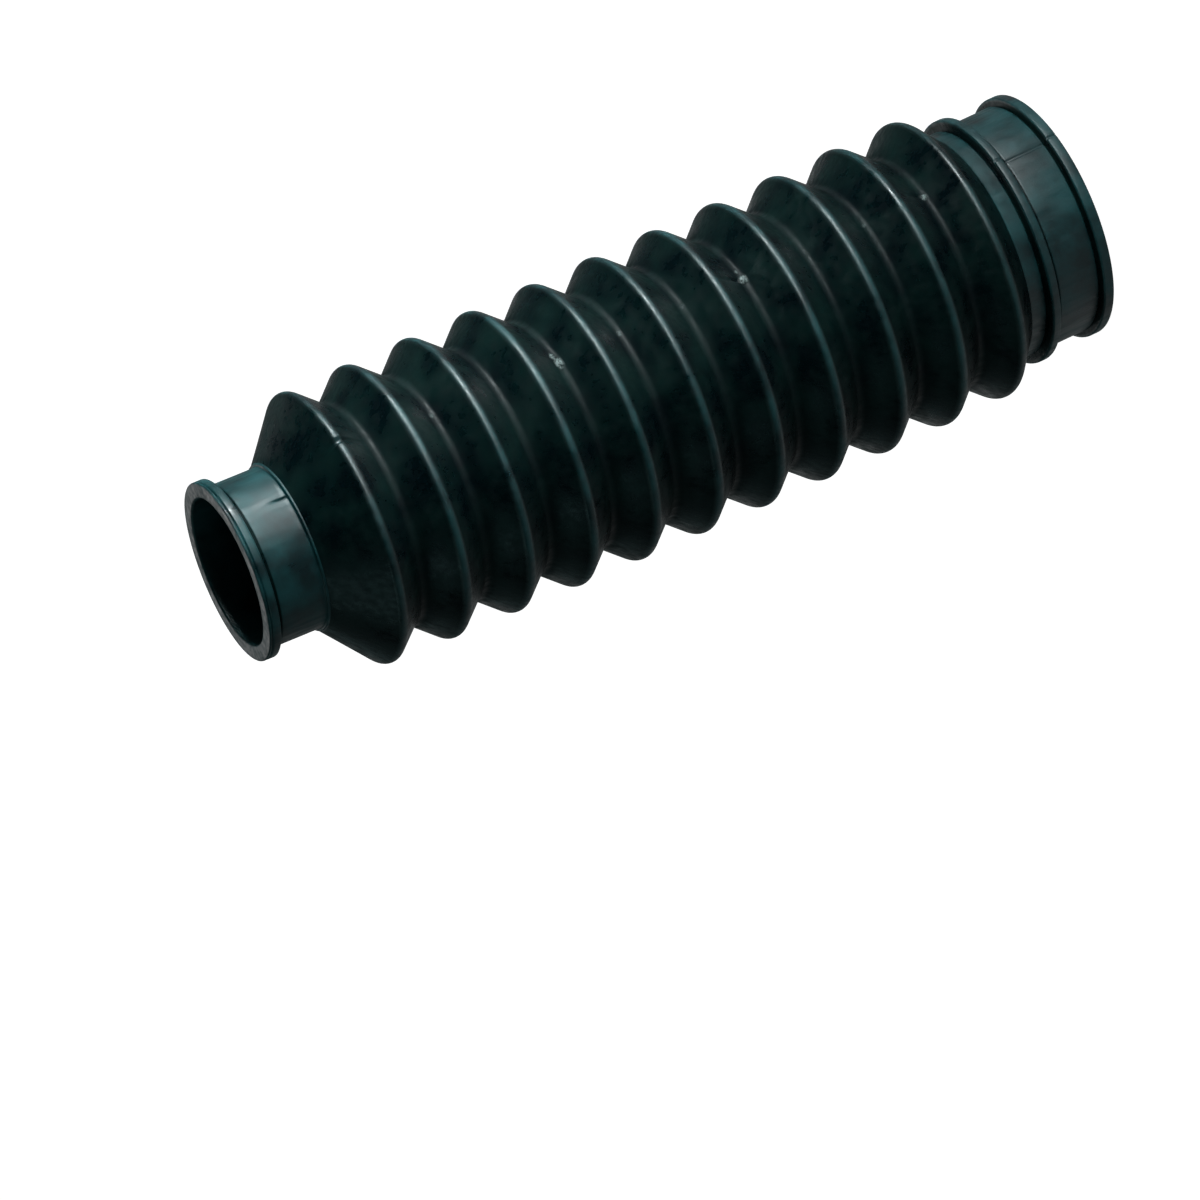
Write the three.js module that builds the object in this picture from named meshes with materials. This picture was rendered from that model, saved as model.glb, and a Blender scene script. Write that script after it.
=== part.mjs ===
// Fork gaiter: a one-piece moulded rubber bellows that slips over the leg of a telescopic motorcycle fork.
// The big cuff stands at the origin and the small cuff points up along +Z. Sizes are in millimetres.
import * as THREE from 'three';

// The small cuff grips the fork tube
const smallBore = 37;
const smallCuffWall = 1.9;
const smallLipProud = 2.1;
const smallLipLength = 3.1;
const smallBandLength = 12.8;
const smallShoulderProud = 0.8;
const smallShoulderLength = 0.6;

// The big cuff grips the lower leg
const bigBore = 54.8;
const bigCuffWall = 1.9;
const bigLipProud = 1.8;
const bigLipLength = 2.7;
const bigBandLength = 12.6;
const beadProud = 2.3;
const beadLength = 2.2;
const landLength = 4.8;

// The folds between the cuffs
const crestCount = 11;
const pitch = 16.8;
const topCrestRadius = 34.5;
const bottomCrestRadius = 35.9;
const foldDepth = 6.2;
const wall = 1.7;
const topFlankLength = 12.2;
const bottomFlankLength = 6.2;

// A fine groove runs round the small lip
const grooveFromRim = 0.5;
const grooveWidth = 0.7;
const grooveDepth = 0.5;

// Roundings, each with the number of straight steps that draw it
const crestRound = { radius: 1.5, steps: 2 };
const rootRound = { radius: 2, steps: 2 };
const innerCrestRound = { radius: 0.8, steps: 1 };
const innerRootRound = { radius: rootRound.radius + wall, steps: 1 };
const mouthRound = { radius: 0.6, steps: 1 };
const lipRound = { radius: 0.4, steps: 1 };
const beadRound = { radius: 0.5, steps: 1 };
const footRound = { radius: 1, steps: 1 };
const throatRound = { radius: 3, steps: 1 };

const roundTheAxis = 40;

// Heights above the rim of the big cuff
const bigLipTop = bigLipLength;
const beadFoot = bigLipTop + bigBandLength;
const beadTop = beadFoot + beadLength;
const landTop = beadTop + landLength;
const bottomCrest = landTop + bottomFlankLength;
const topCrest = bottomCrest + (crestCount - 1) * pitch;
const shoulderFoot = topCrest + topFlankLength;
const shoulderTop = shoulderFoot + smallShoulderLength;
const smallLipFoot = shoulderTop + smallBandLength;
const smallRim = smallLipFoot + smallLipLength;

// Radii from the axis
const smallMouth = smallBore / 2;
const smallBand = smallMouth + smallCuffWall;
const smallShoulder = smallBand + smallShoulderProud;
const smallLip = smallBand + smallLipProud;
const bigMouth = bigBore / 2;
const bigBand = bigMouth + bigCuffWall;
const bigLip = bigBand + bigLipProud;
const bead = bigBand + beadProud;
const land = bigMouth + wall;

// A corner of the section, sharp or rounded
function corner(radius, height, round = { radius: 0, steps: 0 }) {
  return { at: new THREE.Vector2(radius, height), round };
}

// The angle between a flank and the axis, at which the rounded crests and roots stand foldDepth apart
function flankAngle() {
  const rounds = crestRound.radius + rootRound.radius;
  const rest = rounds - foldDepth;
  return Math.asin(rounds / Math.hypot(pitch / 2, rest)) - Math.atan2(rest, pitch / 2);
}

// What a rounding takes off the sharp corner between two flanks
function cutOff(round) {
  return round.radius * (1 / Math.cos(flankAngle()) - 1);
}

// The sharp corners of the folds, from the bottom crest to the top one: crest, root, crest and so on
function foldCorners() {
  const corners = [];
  for (let half = 0; half <= 2 * (crestCount - 1); half += 1) {
    const share = half / (2 * (crestCount - 1));
    const crest = THREE.MathUtils.lerp(bottomCrestRadius, topCrestRadius, share);
    const height = bottomCrest + half * pitch / 2;
    if (half % 2 === 0) {
      corners.push(corner(crest + cutOff(crestRound), height, crestRound));
    } else {
      corners.push(corner(crest - foldDepth - cutOff(rootRound), height, rootRound));
    }
  }
  return corners;
}

// The outside of the big cuff: rim, lip, band for the clamp, bead and land
function bigCuffCorners() {
  return [
    corner(bigMouth, 0, mouthRound),
    corner(bigLip, 0, lipRound),
    corner(bigLip, bigLipTop, lipRound),
    corner(bigBand, bigLipTop),
    corner(bigBand, beadFoot),
    corner(bead, beadFoot, beadRound),
    corner(bead, beadTop, beadRound),
    corner(land, beadTop),
    corner(land, landTop, footRound),
  ];
}

// The outside of the small cuff: shoulder, band for the clamp, grooved lip and rim
function smallCuffCorners() {
  const grooveTop = smallRim - grooveFromRim;
  return [
    corner(smallShoulder, shoulderFoot),
    corner(smallShoulder, shoulderTop),
    corner(smallBand, shoulderTop),
    corner(smallBand, smallLipFoot),
    corner(smallLip, smallLipFoot, lipRound),
    corner(smallLip, grooveTop - grooveWidth),
    corner(smallLip - grooveDepth, grooveTop - grooveWidth / 2),
    corner(smallLip, grooveTop),
    corner(smallLip, smallRim, lipRound),
    corner(smallMouth, smallRim, mouthRound),
  ];
}

// Where the line through two points stands at a given radius
function pointAtRadius(a, b, radius) {
  return a.clone().lerp(b, (radius - a.x) / (b.x - a.x));
}

// The flanks moved inwards by the wall: each corner goes along its bisector, square to the wall on both sides
function moveInwards(corners) {
  return corners.map((here, i) => {
    const before = corners[Math.max(i - 1, 0)].at;
    const after = corners[Math.min(i + 1, corners.length - 1)].at;
    const toHere = here.at.clone().sub(before).normalize();
    const onward = after.clone().sub(here.at).normalize();
    const along = toHere.clone().add(onward).normalize();
    const side = toHere.lengthSq() > 0 ? toHere : onward;
    const shift = new THREE.Vector2(-along.y, along.x).multiplyScalar(wall / along.dot(side));
    return here.at.clone().add(shift);
  });
}

// The inside, from the small cuff's throat down to the big cuff's
function insideCorners(folds) {
  const flanks = [corner(land, landTop), ...folds, corner(smallShoulder, shoulderFoot)];
  const inner = moveInwards(flanks);
  const last = inner.length - 1;
  const bigThroat = pointAtRadius(inner[0], inner[1], bigMouth);
  const smallThroat = pointAtRadius(inner[last], inner[last - 1], smallMouth);
  const rounds = folds.map((fold) => (fold.round === crestRound ? innerCrestRound : innerRootRound));
  const corners = [corner(bigThroat.x, bigThroat.y, throatRound)];
  rounds.forEach((round, i) => corners.push(corner(inner[i + 1].x, inner[i + 1].y, round)));
  corners.push(corner(smallThroat.x, smallThroat.y, throatRound));
  return corners.reverse();
}

// One rounding: an arc that touches both sides of its corner, as large as the shorter side has room for
function roundCorner(before, here, after) {
  if (here.round.steps === 0) {
    return [here.at];
  }
  const back = before.at.clone().sub(here.at);
  const onward = after.at.clone().sub(here.at);
  const room = Math.min(back.length(), onward.length()) / 2;
  back.normalize();
  onward.normalize();
  const half = Math.acos(back.dot(onward)) / 2;
  const reach = Math.min(here.round.radius / Math.tan(half), room);
  const radius = reach * Math.tan(half);
  const start = here.at.clone().addScaledVector(back, reach);
  const centre = back.clone().add(onward).setLength(radius / Math.sin(half)).add(here.at);
  const turn = Math.sign(onward.cross(back)) * (Math.PI - 2 * half) / here.round.steps;
  return Array.from({ length: here.round.steps + 1 }, (_, k) => start.clone().rotateAround(centre, k * turn));
}

// The whole section, closed on itself
function section() {
  const folds = foldCorners();
  const corners = [...bigCuffCorners(), ...folds, ...smallCuffCorners(), ...insideCorners(folds)];
  const points = corners.flatMap((here, i) => {
    return roundCorner(corners.at(i - 1), here, corners[(i + 1) % corners.length]);
  });
  points.push(points[0].clone());
  return points;
}

// The rubber is spun about the axis, which is then turned to stand upright
function makeGaiter() {
  const geometry = new THREE.LatheGeometry(section(), roundTheAxis);
  geometry.rotateX(Math.PI / 2);
  const rubber = new THREE.MeshStandardMaterial({ color: 0x15191a, roughness: 0.5, metalness: 0 });
  const mesh = new THREE.Mesh(geometry, rubber);
  mesh.name = 'gaiter';
  return mesh;
}

const gaiter = new THREE.Group();
gaiter.add(makeGaiter());

export default gaiter;
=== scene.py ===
import math

import bmesh
import bpy
from mathutils import Matrix, Vector


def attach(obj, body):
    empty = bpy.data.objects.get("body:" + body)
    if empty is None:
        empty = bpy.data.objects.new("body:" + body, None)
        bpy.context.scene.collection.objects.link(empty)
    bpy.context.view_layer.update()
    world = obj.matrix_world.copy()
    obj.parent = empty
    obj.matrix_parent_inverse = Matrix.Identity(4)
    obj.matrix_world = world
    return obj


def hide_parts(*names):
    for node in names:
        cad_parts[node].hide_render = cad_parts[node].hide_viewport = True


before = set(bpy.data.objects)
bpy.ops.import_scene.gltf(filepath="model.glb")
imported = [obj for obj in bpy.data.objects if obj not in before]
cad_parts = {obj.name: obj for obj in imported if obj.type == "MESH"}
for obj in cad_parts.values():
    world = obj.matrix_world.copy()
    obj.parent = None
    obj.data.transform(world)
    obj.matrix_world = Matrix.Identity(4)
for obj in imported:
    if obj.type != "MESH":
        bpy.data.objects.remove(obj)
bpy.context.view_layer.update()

# The gaiter is one bellows of black rubber, moulded in a steel mould that opens in two halves. It is made
# here as the mould maker draws it, in millimetres: half a section with sharp corners, each corner rounded
# off, and the section spun about the axis. It stands on the rim of its big cuff.
MM = 0.001
small_bore = 37.0
small_cuff_wall = 1.9
small_lip_proud = 2.1
small_lip_length = 3.1
small_band_length = 12.8
shoulder_proud = 0.8
shoulder_length = 0.6
big_bore = 54.8
big_cuff_wall = 1.9
big_lip_proud = 1.8
big_lip_length = 2.7
big_band_length = 12.6
bead_proud = 2.3
bead_length = 2.2
land_length = 4.8
crest_count = 11
pitch = 16.8
top_crest_radius = 34.5
bottom_crest_radius = 35.9
swelling = 0.3
fold_depth = 6.2
wall = 1.7
top_flank_length = 12.2
bottom_flank_length = 6.2
groove_from_rim = 0.5
groove_width = 0.7
groove_depth = 0.5
relief_above = 0.75
relief_below = 1.4
relief_depth = 0.85

crest_round = 1.5
root_round = 2.0
inner_crest_round = 0.8
lip_round = 0.4
mouth_round = 0.6
foot_round = 0.35
groove_round = 0.12
flank_round = 1.0
throat_round = 3.0

big_mouth = big_bore / 2
big_band = big_mouth + big_cuff_wall
big_lip = big_band + big_lip_proud
bead_foot = big_lip_length + big_band_length
bead_top = bead_foot + bead_length
bead = big_band + bead_proud
land = big_mouth + wall
land_top = bead_top + land_length
bottom_crest = land_top + bottom_flank_length
top_crest = bottom_crest + (crest_count - 1) * pitch
shoulder_foot = top_crest + top_flank_length
shoulder_top = shoulder_foot + shoulder_length
small_lip_foot = shoulder_top + small_band_length
small_rim = small_lip_foot + small_lip_length
small_mouth = small_bore / 2
small_band = small_mouth + small_cuff_wall
small_shoulder = small_band + shoulder_proud
small_lip = small_band + small_lip_proud
groove_top = small_rim - groove_from_rim

# At this angle between a flank and the axis, the rounded crests and roots stand the fold's depth apart.
half_pitch = pitch / 2
rounds_less_depth = crest_round + root_round - fold_depth
flank_angle = math.asin((crest_round + root_round) / math.hypot(half_pitch, rounds_less_depth))
flank_angle -= math.atan2(rounds_less_depth, half_pitch)
cut_by_rounding = 1 / math.cos(flank_angle) - 1
wall_across = wall / math.cos(flank_angle)

section = bmesh.new()
roundings = []


def corner(radius, height, rounding=0.0, steps=0):
    """A sharp corner of the section. Its rounding is noted for later, with the steps that draw the arc."""
    vert = section.verts.new((radius * MM, 0, height * MM))
    if steps:
        roundings.append((vert.co.copy(), rounding * MM, steps))
    return vert


def relief(radius, foot, way, width):
    """A small V groove beside a lip or bead, from its foot upwards (way 1) or downwards (way -1)."""
    return [corner(radius - relief_depth, foot, foot_round / 2, 2),
            corner(radius, foot + way * width, foot_round, 2)][::way]


def crest_radius(share):
    """The crests' radius at a share of the way up from the bottom crest. They swell towards the middle."""
    swell = 4 * swelling * max(0.0, share * (1 - share))
    return bottom_crest_radius + (top_crest_radius - bottom_crest_radius) * share + swell


outline = [
    corner(big_mouth, 0, mouth_round, 3),
    corner(big_lip, 0, lip_round, 3),
    corner(big_lip, big_lip_length, lip_round, 3),
    *relief(big_band, big_lip_length, 1, relief_above),
    *relief(big_band, bead_foot, -1, relief_below),
    corner(bead, bead_foot, lip_round, 3),
    corner(bead, bead_top, lip_round, 3),
    *relief(land, bead_top, 1, relief_above),
    corner(land, land_top, flank_round, 4),
]
inside = []
folds = []
for half in range(2 * crest_count - 1):
    radius = crest_radius(half / (2 * crest_count - 2))
    height = bottom_crest + half * half_pitch
    if half % 2 == 0:
        radius += crest_round * cut_by_rounding
        folds.append(corner(radius, height, crest_round, 6))
        inside.append(corner(radius - wall_across, height, inner_crest_round, 2))
    else:
        radius -= fold_depth + root_round * cut_by_rounding
        folds.append(corner(radius, height, root_round, 7))
        inside.append(corner(radius - wall_across, height, root_round + wall, 3))
outline += folds
outline += [
    corner(small_shoulder, shoulder_foot, foot_round, 2),
    corner(small_shoulder, shoulder_top, foot_round, 2),
    corner(small_band, shoulder_top, foot_round, 2),
    *relief(small_band, small_lip_foot, -1, relief_below),
    corner(small_lip, small_lip_foot, lip_round, 3),
    corner(small_lip, groove_top - groove_width, groove_round, 2),
    corner(small_lip - groove_depth, groove_top - groove_width / 2, groove_round, 2),
    corner(small_lip, groove_top, groove_round, 2),
    corner(small_lip, small_rim, lip_round, 3),
    corner(small_mouth, small_rim, mouth_round, 3),
]
outer_verts = set(outline)


def throat(bore_radius, crest, crest_height, foot, foot_height):
    """The corner where the last flank, moved inwards by the wall, meets a cuff's bore."""
    slope = (foot_height - crest_height) / (foot - crest)
    inner_crest = crest - wall_across
    return corner(bore_radius, crest_height + (bore_radius - inner_crest) * slope, throat_round, 5)


top_apex = top_crest_radius + crest_round * cut_by_rounding
bottom_apex = bottom_crest_radius + crest_round * cut_by_rounding
outline.append(throat(small_mouth, top_apex, top_crest, small_shoulder, shoulder_foot))
outline += reversed(inside)
outline.append(throat(big_mouth, bottom_apex, bottom_crest, land, land_top))
for here, following in zip(outline, outline[1:] + outline[:1]):
    section.edges.new((here, following))

# Each long side on the outside is cut into a few shorter ones, so that light runs evenly over it. The top
# flank and the small band are the longest sides, and are cut the most. Then each corner is rounded off.
long_side = 5.0
longest_side = 11.3
for shortest, cuts in ((longest_side, 7), (long_side, 3)):
    long_edges = [e for e in section.edges
                  if e.calc_length() > shortest * MM and outer_verts.issuperset(e.verts)]
    bmesh.ops.subdivide_edges(section, edges=long_edges, cuts=cuts)
most_of_side = 0.9
for sharp_at, rounding, steps in roundings:
    vert = min(section.verts, key=lambda v: (v.co - sharp_at).length)
    one, other = ((e.other_vert(vert).co - vert.co) for e in vert.link_edges)
    room = most_of_side * min(one.length, other.length)
    reach = min(rounding / math.tan(one.angle(other) / 2), room)
    bmesh.ops.bevel(section, geom=[vert], offset=reach, offset_type="OFFSET", affect="VERTICES",
                    segments=steps, profile=0.5, material=-1)

# The two halves of the mould meet in a seam on each side, 180 degrees apart. The spin is finer there, so
# that the seam's marks are real: hairlines on the cuffs, a nick in the top crest, and scraps of flash in
# the roots.
seam_zone = math.radians(10)
seam_steps = 20
side_steps = 92
seam_from_viewer = math.radians(31.5)
first_seam = seam_from_viewer - math.pi / 2
zone_start = Matrix.Rotation(first_seam - seam_zone / 2, 3, "Z")
bmesh.ops.rotate(section, verts=section.verts[:], cent=(0, 0, 0), matrix=zone_start)
ring = section.verts[:] + section.edges[:]
for turn, steps in 2 * ((seam_zone, seam_steps), (math.pi - seam_zone, side_steps)):
    spun = bmesh.ops.spin(section, geom=ring, cent=(0, 0, 0), axis=(0, 0, 1), angle=turn, steps=steps)
    ring = spun["geom_last"]
weld_within = 0.002
bmesh.ops.remove_doubles(section, verts=section.verts[:], dist=weld_within * MM)
bmesh.ops.recalc_face_normals(section, faces=section.faces[:])

hairline_width = 0.9
hairline_depth = 0.8
small_hairline_length = 3.8
nick_width = 2.2
nick_depth = 0.9
nick_height = 2.4
# Scraps of flash and pits in the roots, which are counted from the small end. Each has its way round from
# the seam, its height above the middle of the root, how far it reaches round and along, and how far it
# stands out, which is negative for a pit.
scraps = [
    (2, 0.0, 0.2, 0.9, 0.5, 0.1),
    (4, 1.8, 0.5, 0.9, 0.5, 0.4),
    (4, -0.8, 0.0, 1.7, 0.8, 0.6),
    (5, 0.2, 0.0, 0.9, 0.5, 0.12),
    (6, 0.0, -0.3, 0.7, 0.5, 0.08),
    (7, 0.0, -0.1, 1.2, 0.9, 0.6),
    (7, 2.8, 0.2, 0.5, 0.4, 0.3),
    (7, 0.0, 1.3, 0.7, 0.5, -0.5),
    (9, -0.2, 0.1, 0.6, 0.5, 0.1),
    (10, 0.1, 0.0, 0.9, 0.7, 0.35),
    (10, 0.8, 1.5, 0.7, 0.8, -0.4),
    (10, 0.0, -2.0, 0.9, 0.6, -0.35),
]


def seam_mark(way_round, height):
    """How far the rubber stands out, in mm, so far round from the seam and so high, and how torn it is."""
    if height < bead_top or shoulder_top < height < shoulder_top + small_hairline_length:
        uneven = 0.7 + 0.3 * math.sin(2.3 * height) * math.sin(0.9 * height + 1)
        wander = 0.12 * math.sin(1.7 * height)
        across = min(1.0, 2 * abs(way_round - wander) / hairline_width)
        return -hairline_depth * uneven * (1 - across), 0.0
    up_from_nick = (height - top_crest) / nick_height
    if abs(up_from_nick) < 1:
        across = min(1.0, abs(2 * way_round / nick_width))
        return -nick_depth * (1 - up_from_nick ** 2) * (1 - across ** 2), 0.0
    proud = 0.0
    for root, round_at, up_at, reach_round, reach_up, stands_out in scraps:
        across = (way_round - round_at) / reach_round
        along = (height - top_crest + (root - 0.5) * pitch - up_at) / reach_up
        ragged = 0.2 * math.sin(7.1 * way_round + 9.3 * height)
        bulge = 1 + ragged - across ** 2 - along ** 2
        if bulge > 0:
            proud += stands_out * math.sqrt(bulge)
    return proud, min(1.0, 4 * max(0.0, proud))


# The rubber is duller in the folds and on the small cuff than on the crests and the big cuff, and the flash
# is torn, hence paler. The depth in a fold, or in a groove beside a lip or the bead, also darkens the colour
# there as painted shade. All three are kept as values on the mesh, which the material reads.
top_flank_dulls_to = 0.2
bottom_flank_dulls_to = 0.5
facing_out = 0.3
depth_in_fold = section.verts.layers.float.new("depth_in_fold")
torn = section.verts.layers.float.new("torn")
on_small_cuff = section.verts.layers.float.new("on_small_cuff")
section.normal_update()
moves = []
for vert in section.verts:
    radius = math.hypot(vert.co.x, vert.co.y)
    height = vert.co.z / MM
    crest = crest_radius((height - bottom_crest) / (top_crest - bottom_crest))
    below_crest = (crest - radius / MM) / fold_depth
    if bottom_crest < height < top_crest:
        vert[depth_in_fold] = below_crest
    elif top_crest <= height < shoulder_foot:
        vert[depth_in_fold] = min(top_flank_dulls_to, below_crest)
    elif land_top < height <= bottom_crest:
        vert[depth_in_fold] = min(bottom_flank_dulls_to, below_crest)
    else:
        cuff = small_band if height > top_crest else big_band if height < bead_foot else land
        in_relief = (cuff - radius / MM) / relief_depth
        # A groove's depth also paints shade there, darkening its colour.
        if 0.1 < in_relief < 1.1:
            vert[depth_in_fold] = in_relief
        vert[on_small_cuff] = height > top_crest
    outward = Vector((vert.co.x, vert.co.y, 0)) / radius
    off_seam = (math.atan2(vert.co.y, vert.co.x) - first_seam + math.pi / 2) % math.pi - math.pi / 2
    if vert.normal.dot(outward) > facing_out and abs(off_seam) < seam_zone / 2:
        proud, vert[torn] = seam_mark(off_seam * radius / MM, height)
        moves.append((vert, outward * proud * MM))
for vert, move in moves:
    vert.co += move

# It has taken a slight bow while it lay about. The big cuff's rim is still flat, the upper folds turn with
# the bow, and the small cuff leans back a little as well.
bow = 1.4
lean = math.radians(1.3)
for vert in section.verts:
    share = vert.co.z / MM / small_rim
    bend = 4 * bow * (2 * share - 1) / small_rim
    on_cuff = min(1.0, max(0.0, (vert.co.z / MM - top_crest) / top_flank_length))
    vert.co.z -= vert.co.x * bend * share + vert.co.y * math.tan(lean) * on_cuff
    vert.co.x -= 4 * bow * MM * share * (1 - share)

sharp_above = math.radians(50)
for face in section.faces:
    face.smooth = True
for edge in section.edges:
    edge.smooth = edge.calc_face_angle(0) < sharp_above
gaiter_mesh = bpy.data.meshes.new("gaiter_moulding")
section.to_mesh(gaiter_mesh)
section.free()
gaiter = bpy.data.objects.new("gaiter_moulding", gaiter_mesh)
bpy.context.scene.collection.objects.link(gaiter)


def linear(hex_colour):
    """An sRGB hex colour as the linear colour that a shader takes."""
    parts = [int(hex_colour[i:i + 2], 16) / 255 for i in (1, 3, 5)]
    return [c / 12.92 if c < 0.04045 else ((c + 0.055) / 1.055) ** 2.4 for c in parts] + [1.0]


def add(tree, kind, settings=None, links=None):
    """Adds a node. A setting has an attribute's or input's name, and a link joins an input to an output."""
    made = tree.nodes.new(kind)
    for name, value in (settings or {}).items():
        if hasattr(made, name):
            setattr(made, name, value)
        else:
            made.inputs[name].default_value = value
    for name, output in (links or {}).items():
        tree.links.new(made.inputs[name], output)
    return made


# The rubber is a carbon-black compound, cured in the mould: satin, nearly black, with a cold green cast. It
# shines most on the crests and the big cuff, less on the small cuff and the flanks, and least in the roots.
# The mould's blasted face leaves a fine grain, and polishing it left faint streaks along the gaiter.
open_dark = "#02181b"
open_pale = "#0a383b"
# The fold colours are painted shade: darker rubber for the folds and the grooves beside the lips and bead.
fold_shade_dark = "#01090c"
fold_shade_pale = "#041716"
torn_grey = "#5b6a69"
gloss_tint = "#ecfafc"
cloud_size = 9 * MM
streak_width = 1.6 * MM
streak_shape = (1, 1, 0.12)
grain_size = 0.6 * MM
rubber = bpy.data.materials.new("black_rubber_moulded_satin")
rubber.use_nodes = True
tree = rubber.node_tree
tree.nodes.clear()
on_object = add(tree, "ShaderNodeTexCoord").outputs["Object"]
drawn_out = add(tree, "ShaderNodeMapping", {"Scale": streak_shape}, {"Vector": on_object}).outputs["Vector"]
cloud = add(tree, "ShaderNodeTexNoise", {"Scale": 1 / cloud_size, "Detail": 3.0, "Roughness": 0.55},
            {"Vector": on_object}).outputs["Fac"]
streak = add(tree, "ShaderNodeTexNoise", {"Scale": 1 / streak_width, "Detail": 3.0},
             {"Vector": drawn_out}).outputs["Fac"]
grain = add(tree, "ShaderNodeTexNoise", {"Scale": 1 / grain_size, "Detail": 3.0, "Roughness": 0.6},
            {"Vector": on_object}).outputs["Fac"]

# Its colour is cloudy, with painted shade that darkens it in the folds and in the grooves beside the lips
# and the bead, and grey on the crumbs of torn flash. A Mix node takes its two colours in sockets 6 and 7 and
# gives the mixed one in socket 2.
first_colour = 6
second_colour = 7
mixed_colour = 2
depth = add(tree, "ShaderNodeAttribute", {"attribute_name": "depth_in_fold"}).outputs["Fac"]
open_rubber = add(tree, "ShaderNodeValToRGB", links={"Fac": cloud})
fold_painted_shade = add(tree, "ShaderNodeValToRGB", links={"Fac": cloud})
for cloudy, dark, pale in ((open_rubber, open_dark, open_pale), (fold_painted_shade, fold_shade_dark, fold_shade_pale)):
    cloudy.color_ramp.elements[0].position = 0.36
    cloudy.color_ramp.elements[0].color = linear(dark)
    cloudy.color_ramp.elements[1].position = 0.66
    cloudy.color_ramp.elements[1].color = linear(pale)
# How much painted shade darkens the colour, from none on a crest or cuff to full a little way into a fold or
# groove.
fold_shade_share = add(tree, "ShaderNodeMapRange", {"From Min": 0.0, "From Max": 0.07}, {"Value": depth})
colour = add(tree, "ShaderNodeMix", {"data_type": "RGBA"}, {"Factor": fold_shade_share.outputs["Result"]})
tree.links.new(colour.inputs[first_colour], open_rubber.outputs["Color"])
tree.links.new(colour.inputs[second_colour], fold_painted_shade.outputs["Color"])
is_torn = add(tree, "ShaderNodeAttribute", {"attribute_name": "torn"}).outputs["Fac"]
crumbs = add(tree, "ShaderNodeMapRange", {"From Min": 0.4, "From Max": 0.52}, {"Value": grain})
is_flash = add(tree, "ShaderNodeMath", {"operation": "MULTIPLY"})
tree.links.new(is_flash.inputs[0], is_torn)
tree.links.new(is_flash.inputs[1], crumbs.outputs["Result"])
with_scraps = add(tree, "ShaderNodeMix", {"data_type": "RGBA"}, {"Factor": is_flash.outputs["Value"]})
tree.links.new(with_scraps.inputs[first_colour], colour.outputs[mixed_colour])
with_scraps.inputs[second_colour].default_value = linear(torn_grey)

# How rough the rubber is and how strongly it shines, each at a few depths from a crest, 0, to a root, 1. The
# shine falls off on the small cuff too, and the roughness varies with the streaks and clouds.
roughness_at_depths = ((0.0, 0.43), (0.12, 0.34), (0.7, 0.34), (1.0, 0.5))
shine_at_depths = ((0.03, 0.54), (0.13, 0.14), (0.5, 0.22), (0.9, 0.13))
small_cuff_shine = 0.65
roughness = add(tree, "ShaderNodeValToRGB", links={"Fac": depth})
roughness.color_ramp.interpolation = "EASE"
shine = add(tree, "ShaderNodeValToRGB", links={"Fac": depth})
for by_depth, stops in ((roughness, roughness_at_depths), (shine, shine_at_depths)):
    points = by_depth.color_ramp.elements
    points[0].position = stops[0][0]
    points[1].position = stops[-1][0]
    for at, _ in stops[1:-1]:
        points.new(at)
    for point, (_, value) in zip(points, stops):
        point.color = (value, value, value, 1)
small_cuff = add(tree, "ShaderNodeAttribute", {"attribute_name": "on_small_cuff"}).outputs["Fac"]
dulled = add(tree, "ShaderNodeMapRange", {"To Min": 1.0, "To Max": small_cuff_shine}, {"Value": small_cuff})
shine_there = add(tree, "ShaderNodeMath", {"operation": "MULTIPLY"})
tree.links.new(shine_there.inputs[0], shine.outputs["Color"])
tree.links.new(shine_there.inputs[1], dulled.outputs["Result"])
streaky = add(tree, "ShaderNodeMapRange",
              {"From Min": 0.3, "From Max": 0.7, "To Min": -0.12, "To Max": 0.12}, {"Value": streak})
patchy = add(tree, "ShaderNodeMapRange",
             {"From Min": 0.35, "From Max": 0.65, "To Min": -0.07, "To Max": 0.09}, {"Value": cloud})
uneven = add(tree, "ShaderNodeMath", {"operation": "ADD"})
tree.links.new(uneven.inputs[0], streaky.outputs["Result"])
tree.links.new(uneven.inputs[1], patchy.outputs["Result"])
roughness_there = add(tree, "ShaderNodeMath", {"operation": "ADD"})
tree.links.new(roughness_there.inputs[0], roughness.outputs["Color"])
tree.links.new(roughness_there.inputs[1], uneven.outputs["Value"])
fine = add(tree, "ShaderNodeBump", {"Strength": 0.5, "Distance": 0.05 * MM}, {"Height": grain})
wavy = add(tree, "ShaderNodeBump", {"Strength": 0.4, "Distance": 0.1 * MM},
           {"Height": streak, "Normal": fine.outputs["Normal"]})
shader = add(tree, "ShaderNodeBsdfPrincipled", {"IOR": 1.52, "Specular Tint": linear(gloss_tint)},
             {"Base Color": with_scraps.outputs[mixed_colour],
              "Roughness": roughness_there.outputs["Value"],
              "Specular IOR Level": shine_there.outputs["Value"],
              "Normal": wavy.outputs["Normal"]})
add(tree, "ShaderNodeOutputMaterial", links={"Surface": shader.outputs["BSDF"]})
gaiter_mesh.materials.append(rubber)
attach(gaiter, "root")
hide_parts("gaiter")

# The floor is a plain sheet of white opal acrylic, lit from below as well, so that it stays white in the
# picture. Little of that light reaches the rubber, apart from a bright pool towards the biggest lamp and a
# faint one on the gaiter's other side. Places are in metres.
floor_reach = 6.0
floor_build = bmesh.new()
bmesh.ops.create_grid(floor_build, x_segments=1, y_segments=1, size=floor_reach)
floor_mesh = bpy.data.meshes.new("floor")
floor_build.to_mesh(floor_mesh)
floor_build.free()
floor = bpy.data.objects.new("floor", floor_mesh)
bpy.context.scene.collection.objects.link(floor)
opal = bpy.data.materials.new("opal_acrylic_sheet")
opal.use_nodes = True
tree = opal.node_tree
tree.nodes.clear()
seen = add(tree, "ShaderNodeLightPath").outputs["Is Camera Ray"]
on_floor = add(tree, "ShaderNodeTexCoord").outputs["Object"]


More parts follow.
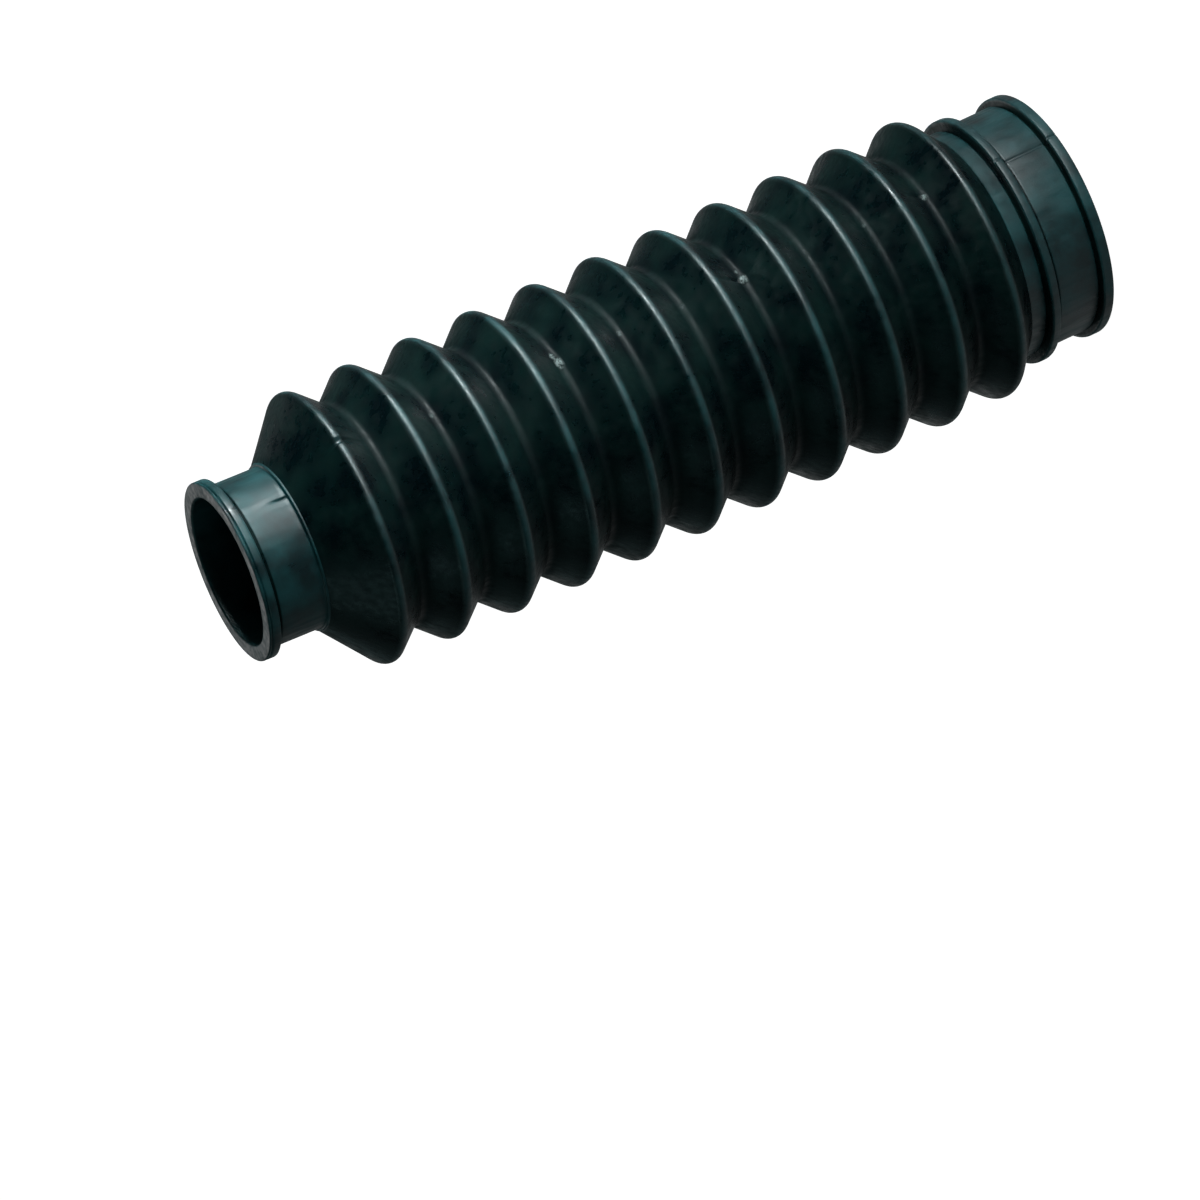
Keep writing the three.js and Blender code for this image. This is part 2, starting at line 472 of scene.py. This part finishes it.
def pool_of_light(x, y, reach):
    """How near a place on the floor is to the middle of a lamp under it, from 1 there to 0 at its reach."""
    shift = (-x / reach, -y / reach, 0)
    squeeze = (1 / reach, 1 / reach, 1)
    placed = add(tree, "ShaderNodeMapping", {"Location": shift, "Scale": squeeze}, {"Vector": on_floor})
    pool = add(tree, "ShaderNodeTexGradient", {"gradient_type": "SPHERICAL"},
               {"Vector": placed.outputs["Vector"]})
    return pool.outputs["Fac"]


bright_pool = pool_of_light(x=0.27, y=-0.21, reach=0.25)
faint_pool = pool_of_light(x=-0.09, y=-0.03, reach=0.08)
one_pool = add(tree, "ShaderNodeMapRange", {"To Min": 0.1, "To Max": 3.0}, {"Value": bright_pool})
both_pools = add(tree, "ShaderNodeMapRange", {"To Max": 0.3},
                 {"Value": faint_pool, "To Min": one_pool.outputs["Result"]})
glow = add(tree, "ShaderNodeMapRange", {"To Max": 1.0},
           {"Value": seen, "To Min": both_pools.outputs["Result"]})
shader = add(tree, "ShaderNodeBsdfPrincipled",
             {"Base Color": linear("#b0b0b0"), "Roughness": 0.6, "Emission Color": linear("#ffffff")},
             {"Emission Strength": glow.outputs["Result"]})
add(tree, "ShaderNodeOutputMaterial", links={"Surface": shader.outputs["BSDF"]})
floor_mesh.materials.append(opal)

# The studio's lamps are soft panels: a big one low beside the gaiter, a narrow one next to it that lights
# the small cuff, and weak ones behind and above. Their places and sizes are in metres.
middle = Vector((0, 0, small_rim * MM / 2))
below_small_cuff = Vector((0, 0, 0.9 * small_rim * MM))


def panel(name, towards, distance, width, height, watts, colour="#ffffff", spread=180, aimed_at=middle):
    """A panel that stands at a distance from the middle of the gaiter, towards a side of it."""
    lamp = bpy.data.lights.new(name, "AREA")
    lamp.shape = "RECTANGLE"
    lamp.size = width
    lamp.size_y = height
    lamp.energy = watts
    lamp.color = linear(colour)[:3]
    lamp.spread = math.radians(spread)
    thing = bpy.data.objects.new(name, lamp)
    thing.location = middle + Vector(towards).normalized() * distance
    thing.rotation_euler = (thing.location - aimed_at).to_track_quat("Z", "Y").to_euler()
    bpy.context.scene.collection.objects.link(thing)


panel("key_panel", towards=(0.71, -0.7, 0.03), distance=0.8, width=0.8, height=0.24, watts=7.1)
panel("narrow_panel", towards=(0.92, -0.39, 0.03), distance=0.8, width=0.3, height=0.24, watts=0.34,
      spread=30, aimed_at=below_small_cuff)
panel("back_panel", towards=(0.2, 0.9, 0.6), distance=1.2, width=0.8, height=0.6, watts=2)
panel("upper_panel", towards=(-0.55, 0.1, 0.8), distance=1.2, width=0.8, height=0.6, watts=1.2,
      colour="#b5e6e6")

# The studio's room is white in the picture. The rubber mirrors it only dimly, dimmest overhead, and with a
# slight green tint.
room = bpy.data.worlds.new("studio")
bpy.context.scene.world = room
room.use_nodes = True
tree = room.node_tree
tree.nodes.clear()
seen = add(tree, "ShaderNodeLightPath").outputs["Is Camera Ray"]
direction = add(tree, "ShaderNodeTexCoord").outputs["Generated"]
upwards = add(tree, "ShaderNodeSeparateXYZ", links={"Vector": direction}).outputs["Z"]
dim = add(tree, "ShaderNodeMapRange", {"From Min": 0.0, "From Max": 0.6, "To Min": 0.14, "To Max": 0.02},
          {"Value": upwards})
level = add(tree, "ShaderNodeMix", {"B": 1.0}, {"Factor": seen, "A": dim.outputs["Result"]})
hue = add(tree, "ShaderNodeMix", {"data_type": "RGBA"}, {"Factor": seen})
hue.inputs[first_colour].default_value = linear("#c4eef0")
hue.inputs[second_colour].default_value = linear("#ffffff")
sky = add(tree, "ShaderNodeBackground",
          links={"Color": hue.outputs[mixed_colour], "Strength": level.outputs["Result"]})
add(tree, "ShaderNodeOutputWorld", links={"Surface": sky.outputs["Background"]})

# The camera stands before the gaiter, a little above its middle and far off, and is rolled so that the
# gaiter lies across the picture with its small cuff down to the left.
elevation = math.radians(18.46)
roll = math.radians(23.95)
picture_width = 1200
mm_per_pixel = 0.23684
pixels_away = 10000
aim_pixels_left = 174.7
aim_height = 143.7
sensor_width = 36
distance = pixels_away * mm_per_pixel * MM
aim = Vector((-aim_pixels_left * mm_per_pixel * MM, 0, aim_height * MM))
to_camera = Vector((0, -math.cos(elevation), math.sin(elevation)))
along_gaiter = Vector((0, -math.sin(elevation), -math.cos(elevation)))
across_gaiter = Vector((-1, 0, 0))
right = along_gaiter * math.cos(roll) + across_gaiter * math.sin(roll)
up = along_gaiter * math.sin(roll) - across_gaiter * math.cos(roll)
lens = bpy.data.cameras.new("camera")
lens.sensor_width = sensor_width
lens.lens = sensor_width * distance / (picture_width * mm_per_pixel * MM)
lens.clip_end = 50
camera = bpy.data.objects.new("camera", lens)
turned = Matrix((right, up, to_camera)).transposed().to_4x4()
camera.matrix_world = Matrix.Translation(aim + to_camera * distance) @ turned
bpy.context.scene.collection.objects.link(camera)
bpy.context.scene.camera = camera
bpy.context.scene.view_settings.view_transform = "Standard"
